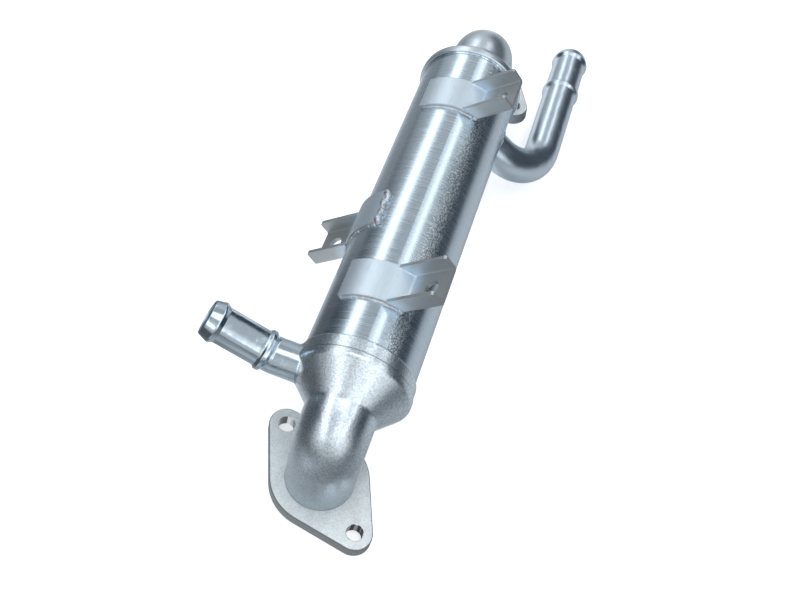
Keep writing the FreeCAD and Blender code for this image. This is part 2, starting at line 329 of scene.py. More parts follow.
def paint_shell(finish):
    """Fine lines round the shell, in bands, and a grainy strip low on the bent pipe's side."""

    def paint(shade):
        vector = shade.place()
        x, y, z = shade.split(vector)
        side, up, _ = round_shell(y, z)
        around = shade.node("ShaderNodeCombineXYZ", None, [x / MM, side * 1.7, up * 1.7])[0]
        fine = shade.noise(around, 1.0, 2.0, 0.6).ramp(0.25, 0.75, smooth=False)
        wide = shade.noise(shade.stretch(around, (0.12, 1.0, 1.0)), 1.0)
        grain = shade.noise(vector, 1150.0, 1.0)
        strip = (-side).ramp(0.2, 0.42) * (1 - (-side).ramp(0.5, 0.68))
        light = shade.mix(fine, tone(finish.steel, 0.92), tone(finish.steel, 1.07))
        light = shade.mix(grain.ramp(0.6, 0.36) * strip * 0.6, light, (0.1, 0.12, 0.14))
        light = shade.mix(grain.ramp(0.52, 0.66) * strip * 0.9, light, WHITE)
        rough = 0.19 + fine * 0.09 + wide * 0.04 + strip * 0.06
        normal = shade.bump(fine, 0.00012, finish.brush)
        normal = shade.bump(grain * strip, 0.0004, 0.7, normal)
        return {"Base Color": light, "Roughness": rough, "Normal": normal}

    return paint


def paint_blasted(finish):
    """Grains of a blasted casting, dark in their pits, with painted shade low down and dark lines at its two
    joints.
    """

    def paint(shade):
        vector = shade.place()
        x, _, z = shade.split(vector)
        grain = shade.noise(vector, 1150.0, 1.0)
        patch = shade.noise(vector, 60.0, 3.0, 0.6)
        joint = 1 - x.apart((INLET_EDGE - COLLAR_LENGTH - 0.3) * MM).ramp(0.0002, 0.0006)
        foot = 1 - z.apart((FLANGE_THICK + 0.2) * MM).ramp(0.0002, 0.0006)
        seam = joint.math("MAXIMUM", foot * (1 - x.ramp(0.02, 0.021)))
        far = x.ramp(0.2, 0.26)
        speckle = 0.5 + (grain.ramp(0.32, 0.64) - 0.5) * (1 - far * 0.6)
        colour = shade.mix(speckle, tone(finish.blasted, 0.8), tone(finish.blasted, 1.13))
        # Painted shade: the colour is darkened towards the bottom, but not on the outlet casting.
        low = 1 - z.ramp(0.012, 0.058).math("MAXIMUM", far)
        lowest = 1 - z.ramp(0.02, 0.034).math("MAXIMUM", far)
        colour = shade.mix(low * 0.42 + lowest * 0.12, colour, (0.1, 0.13, 0.15))
        colour = shade.mix(seam * 0.8, colour, (0.16, 0.18, 0.2))
        rough = 0.29 + patch.ramp(0.3, 0.7) * 0.05 + far * 0.05
        normal = shade.bump(grain * (1 - far * 0.6), 0.0003, 0.26)
        return {"Base Color": colour, "Roughness": rough, "Normal": normal}

    return paint


def paint_plate(finish, holes, tilt):
    """A satin plate with speckle, painted shade on its sides and rounded edges, and turned walls inside its
    holes that carry painted bright and dark reflection bars.
    """

    def paint(shade):
        vector = shade.place()
        x, y, z = shade.split(vector)
        grain = shade.noise(vector, 900.0, 2.0, 0.6)
        patch = shade.noise(vector, 160.0, 4.0, 0.65)
        bore = 0.0
        for cx, cy, cz in holes:
            dx = x - cx * MM
            dy = (y - cy * MM) * math.cos(tilt) + (z - cz * MM) * math.sin(tilt)
            reach = (dx * dx + dy * dy).math("SQRT")
            bore = (1 - reach.ramp((HOLE_R + 0.05) * MM, (HOLE_R + 0.25) * MM)).math("MAXIMUM", bore)
        mottle = grain.ramp(0.3, 0.7) * 0.55 + patch.ramp(0.3, 0.7) * 0.45
        colour = shade.mix(mottle, tone(finish.plate, 0.86), tone(finish.plate, 1.12))
        level = shade.split(shade.node("ShaderNodeTexCoord")[1])[2]
        # Painted shade: faces that look sideways are darker than the top.
        colour = shade.mix(level.ramp(0.05, 0.3), tone(finish.plate, 0.55), colour)
        # Painted shade: a dark line on the rounded edges, set by the way they face.
        painted_rim_shade = level.ramp(0.02, 0.15) * (1 - level.ramp(0.93, 0.995))
        colour = shade.mix(painted_rim_shade * 0.85, colour, (0.13, 0.15, 0.17))
        # Painted reflection: bright and dark bars down the hole walls.
        reflection_bars = shade.noise(shade.stretch(vector, (420, 420, 8)), 1.0, 1.0).ramp(0.42, 0.58)
        colour = shade.mix(bore, colour, shade.mix(reflection_bars, (0.1, 0.11, 0.13), (0.95, 0.97, 1.0)))
        rough = 0.5 - bore * 0.36
        metallic = 0.6 + bore * 0.4
        normal = shade.bump(grain * (1 - bore), 0.0003, 0.7)
        return {"Base Color": colour, "Roughness": rough, "Metallic": metallic, "Normal": normal}

    return paint


def paint_pipe(finish, least):
    """Drawn tube: satin, with faint waves and a few dull spots. least is its lowest roughness."""

    def paint(shade):
        vector = shade.place()
        wave = shade.noise(vector, 85.0)
        fine = shade.noise(vector, 900.0, 2.0, 0.6)
        dull = shade.noise(vector, 130.0, 4.0, 0.65).ramp(0.55, 0.72)
        colour = shade.mix(wave, tone(finish.steel, 0.92), tone(finish.steel, 1.1))
        rough = least + dull * 0.12 + fine * 0.03
        normal = shade.bump(fine, 0.00004, 0.06)
        normal = shade.bump(wave, 0.0012, 0.22, normal)
        return {"Base Color": colour, "Roughness": rough, "Normal": normal}

    return paint


def paint_sheet(finish):
    """Pressed sheet: satin, with a faint rolling grain, dull scuffs, a heat tint beside the welds and painted
    shade in the channels.
    """

    def paint(shade):
        vector = shade.place()
        x, y, z = shade.split(vector)
        reach = round_shell(y, z)[2]
        grain = shade.noise(vector, 1300.0, 2.0, 0.6)
        rolled = shade.noise(shade.stretch(vector, (120, 700, 700)), 1.0, 3.0, 0.6)
        scuff = shade.noise(vector, 210.0, 5.0, 0.7).ramp(0.56, 0.7)
        edge = 0.0
        for centre, _ in BRACKETS.values():
            near = x.apart(centre * MM)
            edge = near.ramp(0.0110, 0.0121) * (1 - near.ramp(0.0140, 0.0150)) + edge
        edge = edge * (1 - reach.ramp(0.0324, 0.0334)) * shade.noise(vector, 260.0, 3.0, 0.6).ramp(0.3, 0.6)
        colour = shade.mix(rolled * 0.7 + grain * 0.3, tone(finish.sheet, 0.9), tone(finish.sheet, 1.1))
        # Painted shade: the channels, further out from the shell, are darker.
        channel = [part * share for part, share in zip(finish.sheet, (0.8, 0.735, 0.68))]
        colour = shade.mix(reach.ramp(0.0325, 0.041), colour, channel)
        colour = shade.mix(edge * 0.5, colour, finish.scale_brown)
        rough = 0.44 + scuff * 0.14 + edge * 0.1 + grain * 0.05
        normal = shade.bump(grain * 0.6 + rolled * 0.4, 0.00006, 0.5)
        normal = shade.bump(scuff, 0.0002, 0.3, normal)
        return {"Base Color": colour, "Roughness": rough, "Metallic": 0.9, "Normal": normal}

    return paint


def paint_weld(finish):
    """Rough weld metal: bright crests, grey soot between them and a brown tint in places."""

    def paint(shade):
        vector = shade.place()
        lumps = shade.noise(vector, 520.0, 4.0, 0.7)
        soot = shade.noise(vector, 240.0, 4.0, 0.7)
        colour = shade.mix(soot.ramp(0.38, 0.62), (0.55, 0.57, 0.59), finish.sheet)
        tint = shade.noise(vector, 170.0).ramp(0.55, 0.66) * 0.45
        colour = shade.mix(tint, colour, finish.scale_brown)
        rough = 0.3 + lumps * 0.3
        return {"Base Color": colour, "Roughness": rough, "Normal": shade.bump(lumps, 0.0005, 0.8)}

    return paint


def paint_core(finish):
    """Plain drawn and punched steel of the parts inside."""

    def paint(shade):
        vector = shade.place()
        drawn = shade.noise(shade.stretch(vector, (30, 900, 900)), 1.0, 3.0, 0.6)
        cloud = shade.noise(vector, 70.0, 3.0)
        colour = shade.mix(cloud, tone(finish.steel, 0.8), finish.steel)
        rough = 0.26 + drawn * 0.12
        return {"Base Color": colour, "Roughness": rough, "Normal": shade.bump(drawn, 0.00004, 0.4)}

    return paint


# Surfaces


def grid_piece(name, rings, material, replaced=(), hoop=True):
    """A piece from rows of rings, an array of rows x steps x 3 in millimetres.

    Each ring closes on itself. The last row joins the first in a hoop, and otherwise both end rings get a
    face of their own. The faces are turned outwards by the sign of the volume, the sum of a . (b x c) / 6.
    """
    rows, steps = rings.shape[:2]
    points = (rings * MM).reshape(-1, 3)
    row = np.arange(rows if hoop else rows - 1)[:, None]
    step = np.arange(steps)[None, :]
    after = (row + 1) % rows
    turn = (step + 1) % steps
    corners = (row * steps + step, row * steps + turn, after * steps + turn, after * steps + step)
    quads = np.stack(corners, -1).reshape(-1, 4)
    ends = [] if hoop else [np.arange(steps)[::-1], np.arange(steps) + (rows - 1) * steps]
    corner = points[quads] - points.mean(0)
    volume = np.einsum("ij,ij->i", corner[:, 0], np.cross(corner[:, 1], corner[:, 2])).sum()
    volume += np.einsum("ij,ij->i", corner[:, 0], np.cross(corner[:, 2], corner[:, 3])).sum()
    way = -1 if volume < 0 else 1
    faces = quads[:, ::way].tolist() + [end[::way].tolist() for end in ends]
    mesh = bpy.data.meshes.new(name)
    mesh.from_pydata(points.tolist(), [], faces)
    mesh.polygons.foreach_set("use_smooth", np.ones(len(faces), bool))
    mesh.update()
    if mesh.validate():
        raise RuntimeError(name + " has faces that Blender had to mend")
    piece = bpy.data.objects.new(name, mesh)
    bpy.context.scene.collection.objects.link(piece)
    mesh.materials.append(material)
    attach(piece, "root")
    if replaced:
        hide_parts(*replaced)
    return piece


def rounded(points, finest=7):
    """A profile of (along, radius) points where a third number rounds the corner with an arc.

    The arc starts and ends rounding / tan(half the corner's angle) from the corner.
    """
    made = []
    for k, point in enumerate(points):
        corner = np.array(point[:2], float)
        if len(point) < 3 or k in (0, len(points) - 1):
            made.append(corner[None])
            continue
        before = np.array(points[k - 1][:2], float) - corner
        after = np.array(points[k + 1][:2], float) - corner
        before /= np.linalg.norm(before)
        after /= np.linalg.norm(after)
        half = np.arccos(np.clip(before @ after, -1, 1)) / 2
        run = point[2] / np.tan(half)
        share = np.linspace(0, 1, finest)[:, None]
        a, b = corner + before * run, corner + after * run
        made.append((1 - share) ** 2 * a + 2 * share * (1 - share) * corner + share**2 * b)
    return np.concatenate(made)


def thicken_rows(profile, step):
    """The same profile with points added on its long runs, no further apart than the step."""
    lengths = np.linalg.norm(np.diff(profile, axis=0), axis=1)
    counts = np.maximum(1, np.ceil(lengths / step).astype(int))
    parts = [
        a + (b - a) * np.linspace(0, 1, n, endpoint=False)[:, None]
        for a, b, n in zip(profile[:-1], profile[1:], counts)
    ]
    return np.concatenate(parts + [profile[-1:]])


def bent_path(start, way, side, run, bend_radius, degrees, along):
    """Places along a pipe that goes straight, curls towards side and goes straight again.

    Up to run the place is start + way * along. In the bend, with angle a = (along - run) / radius, it is
    the bend's start + way * radius * sin a + side * radius * (1 - cos a). Also gives the way at each place
    and the direction across it in the plane of the bend.
    """
    start, way, side = (np.array(v, float) for v in (start, way, side))
    total = math.radians(degrees)
    angle = np.clip((along - run) / bend_radius, 0, total)[:, None]
    before = np.minimum(along, run)[:, None]
    beyond = np.maximum(along - run - bend_radius * total, 0)[:, None]
    heading = way * np.cos(angle) + side * np.sin(angle)
    across = side * np.cos(angle) - way * np.sin(angle)
    curl = (way * np.sin(angle) + side * (1 - np.cos(angle))) * bend_radius
    centre = start + way * before + curl + heading * beyond
    return centre, heading, across


def carried(profile, path, steps):
    """A profile of (along, radius) carried along a path: centre + radius * (across cos t + level sin t)."""
    centre, heading, across = path(profile[:, 0])
    level = np.cross(heading, across)
    turn = np.linspace(0, 2 * np.pi, steps, endpoint=False)[None, :, None]
    radius = profile[:, 1][:, None, None]
    return centre[:, None] + radius * (across[:, None] * np.cos(turn) + level[:, None] * np.sin(turn))


def pipe_way():
    """The direction in which the bent pipe leaves the shell."""
    low = math.radians(PIPE_ANGLE)
    return np.array([0.0, -math.cos(low), -math.sin(low)])


def nozzle_profile(radius, bore, start, length, stop_back):
    """Outside of a hose pipe from its root over two beads to the mouth, and back along the bore.

    The first bead stops the hose that far back from the mouth, and the second holds it.
    """
    stop = length - stop_back
    hold = length - 5.6
    soft = 0.9
    points = [
        (start, radius),
        (stop - 2.4, radius, soft),
        (stop - 1.0, radius + 1.3, soft),
        (stop + 1.0, radius + 1.3, soft),
        (stop + 2.4, radius, soft),
        (hold - 2.7, radius, soft),
        (hold, radius + 1.35, 1.6),
        (length, radius - 0.5, 0.5),
        (length, bore, 0.4),
        (start, bore),
    ]
    return thicken_rows(rounded(points), 1.6)


def ripple_tube(line, radius, rings, seed, lumps, steps=14):
    """A weld along a line of places: a tube of size radius * (1 + lumps * waves), closed at both ends.

    The waves are sines along and around the tube, with phases from the seed, and overlapping scales, which
    rise and fall back every 1.6 mm.
    """
    rng = np.random.default_rng(seed)
    lengths = np.concatenate([[0], np.cumsum(np.linalg.norm(np.diff(line, axis=0), axis=1))])
    along = np.linspace(0, lengths[-1], rings)
    centre = np.stack([np.interp(along, lengths, line[:, k]) for k in range(3)], 1)
    heading = np.gradient(centre, axis=0)
    heading /= np.linalg.norm(heading, axis=1)[:, None]
    up = np.array([0.13, 0.41, 0.9])
    across = np.cross(heading, up)
    across /= np.linalg.norm(across, axis=1)[:, None]
    level = np.cross(heading, across)
    turn = np.linspace(0, 2 * np.pi, steps, endpoint=False)
    phases = rng.uniform(0, 2 * np.pi, (6, 2))
    waves = np.zeros((rings, steps))
    for k, (a, b) in enumerate(phases):
        wave = np.sin(along[:, None] * (0.9 + 0.8 * k) + a) * np.cos(turn[None] * (k % 4) + b)
        waves += wave / (1 + 0.5 * k)
    scales = (along[:, None] / 1.6 + 0.15 * np.cos(turn[None])) % 1.0
    size = radius * (1 + lumps * (0.3 * waves + 0.5 * (scales - 0.5)))
    ends = np.clip(np.minimum(along, lengths[-1] - along) / radius, 0, 1)
    size *= np.sqrt(1 - (1 - ends[:, None]) ** 2) * 0.985 + 0.015
    return centre[:, None] + size[..., None] * (
        across[:, None] * np.cos(turn)[None, :, None] + level[:, None] * np.sin(turn)[None, :, None]
    )


# Gas boxes


def joined(a, b, blend):
    """Smooth union of two distances: min(a, b) - h * h * blend / 4.

    Here h = max(blend - |a - b|, 0) / blend, so it is 0 where the two are further apart than the blend.
    """
    h = np.maximum(blend - np.abs(a - b), 0) / blend
    return np.minimum(a, b) - h * h * blend / 4


class GasBox:
    """One gas box in its own frame: u away from the shell, y sideways, w up from the shell's axis."""

    def __init__(self, edge, away, reach, collar, body, drop, lean, pivot, sizes, boss=None):
        self.edge = edge
        self.away = away
        self.reach = reach
        self.drop = drop
        self.lean = math.radians(lean)
        self.pivot = np.array([pivot[0], 0.0, pivot[1]])
        self.crease = sizes.crease
        self.boss = boss
        self.bend = (reach - ELBOW_BEND, -ELBOW_BEND)
        self.corner = collar + body
        past = 60.0
        edge_r = COLLAR_R if collar else BODY_R
        outline = [(0, edge_r - 0.5), (0.5, edge_r, 0.45)]
        if collar:
            outline += [
                (collar - 0.1, edge_r, 0.15),
                (collar + 0.15, edge_r - sizes.groove, 0.15),
                (collar + 0.55, BODY_R, 0.2),
            ]
        outline += [
            (self.corner, BODY_R, 4.2),
            (self.corner + past, BODY_R - past * (BODY_R - CONE_END_R) / CONE_LENGTH),
        ]
        self.outer = rounded(outline, 12)
        hollow_r = BODY_R - BOX_WALL
        inner = [
            (0, SHELL_R + 0.05),
            (2.8, SHELL_R + 0.05),
            (2.85, hollow_r),
            (self.corner, hollow_r),
            (self.corner + past, hollow_r - past * (hollow_r - BORE_R) / CONE_LENGTH),
        ]
        self.inner = np.array(inner, float)

    def distance(self, p, hollow=False):
        """Distance outside the form: the revolved outline and the elbow, run together over the crease.

        The outline's distance is (radius - outline) * cos(slope). The elbow's is the distance from its
        line, straight, then an arc, then straight down, less its radius. The boss is a short cylinder
        round the hose stub's root.
        """
        u, y, w = p[..., 0], p[..., 1], p[..., 2]
        outline = self.inner if hollow else self.outer
        radius = BORE_R if hollow else ELBOW_R
        slope = np.where(u > self.corner, math.cos(math.atan((BODY_R - CONE_END_R) / CONE_LENGTH)), 1.0)
        cone = (np.hypot(y, w) - np.interp(u, outline[:, 0], outline[:, 1])) * slope
        bend_u, bend_w = self.bend
        level = np.hypot(w, y)
        upright = np.hypot(u - self.reach, y)
        curl = np.hypot(np.hypot(u - bend_u, w - bend_w) - ELBOW_BEND, y)
        before = np.where(w < bend_w, np.minimum(level, upright), level)
        line = np.where(u <= bend_u, before, np.where(w < bend_w, upright, curl))
        found = joined(cone, line - radius, self.crease)
        if self.boss is None or hollow:
            return found
        boss_u, boss_w, boss_radius, boss_end = self.boss
        boss = np.maximum(np.hypot(u - boss_u, w - boss_w) - boss_radius, y - boss_end)
        return np.where(y > 0, joined(found, boss, 2 * self.crease), found)

    def place(self, p):
        """From the box's own frame to the part's: u along the shell, y and w turned about its axis."""
        y = p[..., 1] * math.cos(self.lean) - p[..., 2] * math.sin(self.lean)
        z = p[..., 1] * math.sin(self.lean) + p[..., 2] * math.cos(self.lean)
        return np.stack([self.edge + self.away * p[..., 0], y, AXIS_Z + z], -1)

    def planes(self, detail):
        """Centres and directions of the cutting planes: upright, then fanned about the pivot, then level."""
        pivot_u, pivot_w = self.pivot[0], self.pivot[2]
        near = np.array([0.0, 0.03, 0.1, 0.2, 0.35, 0.5, 0.9])
        even = np.arange(1.5, pivot_u, 0.8 / detail)
        flat = np.unique(np.concatenate([near, even, detail_rows(self.outer, pivot_u)]))
        fan = np.radians(np.linspace(90, 0, int(110 * detail)))[1:]
        low = np.linspace(pivot_w, -(self.drop - FOOT_HEIGHT), int(9 * detail))[1:]
        fan_up = np.stack([np.cos(fan), 0 * fan, np.sin(fan)], 1)
        centres = [
            np.stack([flat, 0 * flat, 0 * flat], 1),
            self.spine(fan_up),
            np.stack([0 * low + self.reach, 0 * low, low], 1),
        ]
        ups = [np.tile([0.0, 0.0, 1.0], (len(flat), 1)), fan_up, np.tile([1.0, 0.0, 0.0], (len(low), 1))]
        return np.concatenate(centres), np.concatenate(ups)

    def spine(self, ups):
        """Where each fanned plane meets the elbow's middle line, found by halving on the side it lies."""
        low = np.full(len(ups), 5.0)
        high = np.full(len(ups), 90.0)
        bend_u, bend_w = self.bend
        for _ in range(40):
            middle = (low + high) / 2
            p = self.pivot + ups * middle[:, None]
            u, w = p[:, 0], p[:, 2]
            past_arc = np.hypot(u - bend_u, w - bend_w) > ELBOW_BEND
            beyond = np.where(u <= bend_u, w > 0, np.where(w < bend_w, u > self.reach, past_arc))
            high = np.where(beyond, middle, high)
            low = np.where(beyond, low, middle)
        return self.pivot + ups * low[:, None]

    def surface(self, steps, detail=1.0, hollow=False):
        """Rings where rays in each plane leave the form, found by halving the distance along each ray.

        A ray of a fanned plane ends at the line that the planes fan about, so that no two rings cross.
        """
        centre, up = self.planes(detail)
        turn = np.linspace(0, 2 * np.pi, steps, endpoint=False)
        ray = up[:, None] * np.cos(turn)[None, :, None] + np.array([0, 1.0, 0]) * np.sin(turn)[None, :, None]
        room = np.maximum(np.abs(((centre - self.pivot) * up).sum(1)), 1.0)[:, None]
        fanned = (np.abs(up[:, 0]) > 1e-6) & (np.abs(up[:, 2]) > 1e-6)
        longest = 60.0
        back = np.maximum(-np.cos(turn)[None], 1e-6)
        reach = np.where(fanned[:, None], np.minimum(longest, room / back), longest)
        low = np.zeros(reach.shape)
        high = reach.copy()
        for _ in range(34):
            middle = (low + high) / 2
            inside = self.distance(centre[:, None] + ray * middle[..., None], hollow) < 0
            low = np.where(inside, middle, low)
            high = np.where(inside, high, middle)
        return centre[:, None] + ray * low[..., None]

    def piece(self, name, steps, material, replaced):
        """The casting as one closed wall: outside from the shell to the flange, and back up the bore."""
        outside = self.surface(steps)
        inside = self.surface(steps, detail=0.4, hollow=True)
        rings = np.concatenate([outside, inside[::-1]])
        return grid_piece(name, self.place(rings), material, replaced)


def detail_rows(outline, limit):
    """Places of an outline's corners, so that the rows fall on them."""
    found = outline[:, 0]
    return found[(found > 0) & (found < limit)]


def inlet_box(sizes):
    """The inlet's gas box with the sizes of the solid: a collar, and a boss round the hose stub's root."""
    boss = (INLET_EDGE - STUB_X, STUB_Z - AXIS_Z, BOSS_R, BOSS_END)
    return GasBox(
        INLET_EDGE, away=-1, reach=INLET_EDGE, collar=COLLAR_LENGTH, body=4.1, drop=AXIS_Z, lean=0.0,
        pivot=(10.3, -33.0), sizes=sizes, boss=boss,
    )


def outlet_box(sizes):
    """The outlet's gas box with the sizes of the solid, turned about the shell's axis."""
    return GasBox(
        OUTLET_EDGE, away=1, reach=44.3, collar=0.0, body=4.8, drop=37.6, lean=OUTLET_LEAN,
        pivot=(12.0, -33.0), sizes=sizes,
    )


# Operators


class COOLER_OT_stage(Operator):
    """Camera, floor, lamps and the room that the metal mirrors"""

    bl_idname = "cooler.stage"
    bl_label = "Stage"

    def execute(self, context):
        stage = context.scene.cooler_stage
        self.camera(context, stage)
        self.room(context, stage)
        self.floor(context, stage)
        for name, angle, width, bright, first, last in LONG_LAMPS:
            way = np.array([0.0, math.sin(math.radians(angle)), math.cos(math.radians(angle))])
            centre = np.array([(first + last) / 2, 0.0, AXIS_Z]) + way * LAMP_REACH
            self.lamp(context, name, centre, way, (last - first, width), stage.lamp * bright)
        above = np.array([30.0, 170.0, AXIS_Z + 1150.0])
        self.lamp(context, "lamp_above", above, np.array([0.0, 0.0, 1.0]), (600.0, 620.0), stage.lamp * 0.7)
        context.scene.view_settings.view_transform = "Standard"
        return {"FINISHED"}

    def camera(self, context, stage):
        """The photograph's view: the camera's own three directions, and its place in metres."""
        data = bpy.data.cameras.new("camera")
        data.lens = stage.lens
        data.sensor_width = 36.0
        data.clip_start = 0.01
        eye = bpy.data.objects.new("camera", data)
        right = (0.29421185, -0.938214724, 0.182188141)
        up = (0.761262079, 0.345302538, 0.548859002)
        back = (-0.577857624, -0.022787899, 0.81581939)
        turn = Matrix((right, up, back)).transposed().to_4x4()
        turn.translation = (-0.2433187, -0.0201455, 0.5275959)
        eye.matrix_world = turn
        context.scene.collection.objects.link(eye)
        context.scene.camera = eye

    def room(self, context, stage):
        """Even light above, dark walls beside and a pale wall in front. The camera itself sees white."""
        world = bpy.data.worlds.new("room")
        context.scene.world = world
        world.use_nodes = True
        shade = Shade(world.node_tree)
        x, y, z = shade.split(shade.node("ShaderNodeTexCoord")[0])
        ceiling = tone((0.95, 0.98, 1.0), stage.ceiling)
        ceiling = shade.mix(x.ramp(0.66, 0.76), ceiling, tone(ceiling, 1.4))
        left = y.ramp(0.64, 0.82)
        right = ((x - 0.62) * 1.5 - y).ramp(0.42, 0.6).math("MAXIMUM", (-y).ramp(0.6, 0.8))
        far = [part + 0.2 for part in stage.walls]
        wall = shade.mix(x.ramp(0.55, 0.72) * y.ramp(0.2, 0.5), stage.walls, far)
        colour = shade.mix(left.math("MAXIMUM", right), ceiling, wall)
        front = (-x).ramp(0.35, 0.7) * z.ramp(-0.05, 0.12)
        pale = shade.mix((-y).ramp(0.25, 0.6), (stage.front,) * 3, (stage.front * 1.9,) * 3)
        colour = shade.mix(front, colour, pale)
        seen = shade.node("ShaderNodeLightPath")[0]
        colour = shade.mix(seen, colour, WHITE)
        light = shade.node("ShaderNodeBackground", None, {"Color": colour, "Strength": 1.0})
        shade.node("ShaderNodeOutputWorld", None, {0: light[0]})

    def floor_finish(self, stage):
        """White with soft shadows where the camera sees it, and painted glow and painted shade in the metal's
        mirror, laid out by place on the floor.
        """
        made = bpy.data.materials.new("floor")
        made.use_nodes = True
        shade = Shade(made.node_tree)
        x, y, _ = shade.split(shade.place())
        path = shade.node("ShaderNodeLightPath")
        seen, mirrored = path[0], path[3]
        # Painted light: the glow of the floor in reflections is laid out by place.
        under = 1 - y.apart(0.02).ramp(0.0, 0.07, smooth=False)
        left = 1 - y.ramp(0.02, 0.13, smooth=False) * 0.95
        right = 1 - (-y).ramp(0.1, 1.6, smooth=False) * 0.8
        dim = (-y).ramp(0.03, 0.045) - (-y).ramp(0.055, 0.1) * 0.5
        fade = (left * right * 0.72 * (1 - dim * 0.45) + under * 0.75) * (x.ramp(-0.03, 0.06) * 0.8 + 0.2)
        # Painted light: a glowing patch in front of the cooler, on the hose stub's side.
        glow_patch = (1 - x.apart(-0.1).ramp(0.04, 0.06)) * (1 - y.apart(0.08).ramp(0.03, 0.05))
        fade = fade + glow_patch * 0.35
        # Painted shade: in reflections the floor is darker beside the cooler on the hose stub's side, and in
        # front of it.
        beside = (1 - (x - y * 0.7).ramp(0.03, 0.15)) * y.ramp(0.03, 0.14)
        dark = shade.mix(beside, (0.3, 0.31, 0.32), (0.1, 0.105, 0.11))
        before = 1 - x.ramp(-0.06, -0.02).math("MAXIMUM", y.ramp(0.01, 0.05))
        dark = shade.mix(before, dark, (0.15, 0.155, 0.16))
        pale = shade.mix(seen, dark, (0.86, 0.88, 0.9))
        diffuse = shade.node("ShaderNodeBsdfDiffuse", None, {"Color": pale})
        shine = shade.mix(seen * 0.62 + mirrored * fade * stage.floor, BLACK, (0.97, 0.985, 1.0))
        glow = shade.node("ShaderNodeEmission", None, {"Color": shine, "Strength": 1.0})
        both = shade.node("ShaderNodeAddShader", None, [diffuse[0], glow[0]])
        shown = seen.math("MAXIMUM", mirrored)
        use = shade.node("ShaderNodeMixShader", None, {0: shown, 1: diffuse[0], 2: both[0]})
        shade.node("ShaderNodeOutputMaterial", None, {0: use[0]})
        return made

    def floor(self, context, stage):
        """A wide pale floor just below the flange's face."""
        corners = np.array([(-1, -1), (1, -1), (1, 1), (-1, 1)]) * FLOOR_HALF
        points = np.column_stack([corners, np.full(4, FLOOR_Z)]) * MM
        mesh = bpy.data.meshes.new("floor")
        mesh.from_pydata(points.tolist(), [], [(0, 1, 2, 3)])
        mesh.materials.append(self.floor_finish(stage))
        floor = bpy.data.objects.new("floor", mesh)
        context.scene.collection.objects.link(floor)

    def lamp(self, context, name, centre, way, size, bright):
        """A flat lamp, long along X, that shines back along way with brightness * area * pi watts."""
        data = bpy.data.lights.new(name, "AREA")
        data.shape = "RECTANGLE"
        data.size = size[0] * MM
        data.size_y = size[1] * MM
        data.energy = bright * size[0] * size[1] * MM * MM * math.pi
        data.color = (0.98, 0.99, 1.0)
        lamp = bpy.data.objects.new(name, data)
        place = Matrix((tuple(X_WAY), tuple(np.cross(way, X_WAY)), tuple(way))).transposed().to_4x4()
        place.translation = centre * MM
        lamp.matrix_world = place
        context.scene.collection.objects.link(lamp)


class COOLER_OT_shell(Operator):
    """Brushed steel on the round shell"""

    bl_idname = "cooler.shell"
    bl_label = "Shell"

    def execute(self, context):
        dress(["housing_tube"], metal("brushed_shell", paint_shell(context.scene.cooler_finish)))
        return {"FINISHED"}


class COOLER_OT_gas_boxes(Operator):
    """The two gas boxes, where the elbow runs softly into the cone"""

    bl_idname = "cooler.gas_boxes"
    bl_label = "Gas boxes"

    def execute(self, context):
        sizes = context.scene.cooler_sizes
        blasted = metal("blasted_casting", paint_blasted(context.scene.cooler_finish))
        inlet_box(sizes).piece("inlet_casting", sizes.around, blasted, ("inlet_gas_box",))
        outlet_box(sizes).piece("outlet_casting", sizes.around, blasted, ("outlet_gas_box",))
        return {"FINISHED"}


class COOLER_OT_flanges(Operator):
    """Satin steel on the flanges, with turned holes"""

    bl_idname = "cooler.flanges"
    bl_label = "Flanges"

    def execute(self, context):
        finish = context.scene.cooler_finish
        for node, centre, reach, turn, lean in FLANGES:
            turn, lean = math.radians(turn), math.radians(lean)
            way = (math.cos(turn), math.sin(turn) * math.cos(lean), math.sin(turn) * math.sin(lean))
            holes = [[c + sign * reach * w for c, w in zip(centre, way)] for sign in (1, -1)]
            dress([node], metal(node + "_plate", paint_plate(finish, holes, lean)))
        return {"FINISHED"}


class COOLER_OT_hose_stub(Operator):
    """The short hose stub, which turns up a little, with its two beads"""

    bl_idname = "cooler.hose_stub"
    bl_label = "Hose stub"

    def execute(self, context):
        tangent = STUB_BEND * math.tan(math.radians(STUB_TURN / 2))
        run = STUB_REACH - tangent
        length = run + STUB_BEND * math.radians(STUB_TURN) + STUB_END - tangent
        profile = nozzle_profile(STUB_R, STUB_BORE, start=26.5, length=length, stop_back=33.2)

        def path(along):
            return bent_path((STUB_X, 0, STUB_Z), (0, 1, 0), (0, 0, 1), run, STUB_BEND, STUB_TURN, along)

        pipe = metal("drawn_stub", paint_pipe(context.scene.cooler_finish, STUB_ROUGH))
        rings = carried(profile, path, steps=120)
        grid_piece("hose_stub", rings, pipe, ("coolant_inlet_stub",))
        return {"FINISHED"}


class COOLER_OT_bent_pipe(Operator):
    """The bent coolant pipe with its two beads"""

    bl_idname = "cooler.bent_pipe"
    bl_label = "Bent pipe"

    def execute(self, context):
        run = PIPE_REACH - PIPE_BEND
        length = run + PIPE_BEND * math.radians(PIPE_TURN) + PIPE_END
        profile = nozzle_profile(PIPE_R, PIPE_BORE, start=28.7, length=length, stop_back=36.8)

        def path(along):
            return bent_path((PIPE_X, 0, AXIS_Z), pipe_way(), X_WAY, run, PIPE_BEND, PIPE_TURN, along)

        pipe = metal("drawn_pipe", paint_pipe(context.scene.cooler_finish, PIPE_ROUGH))
        rings = carried(profile, path, steps=128)
        grid_piece("bent_pipe", rings, pipe, ("coolant_outlet_pipe",))
        return {"FINISHED"}


class COOLER_OT_brackets(Operator):
    """Pressed sheet finish on the three brackets"""

    bl_idname = "cooler.brackets"
    bl_label = "Brackets"

    def execute(self, context):
        dress(BRACKETS, metal("pressed_sheet", paint_sheet(context.scene.cooler_finish)))
        return {"FINISHED"}


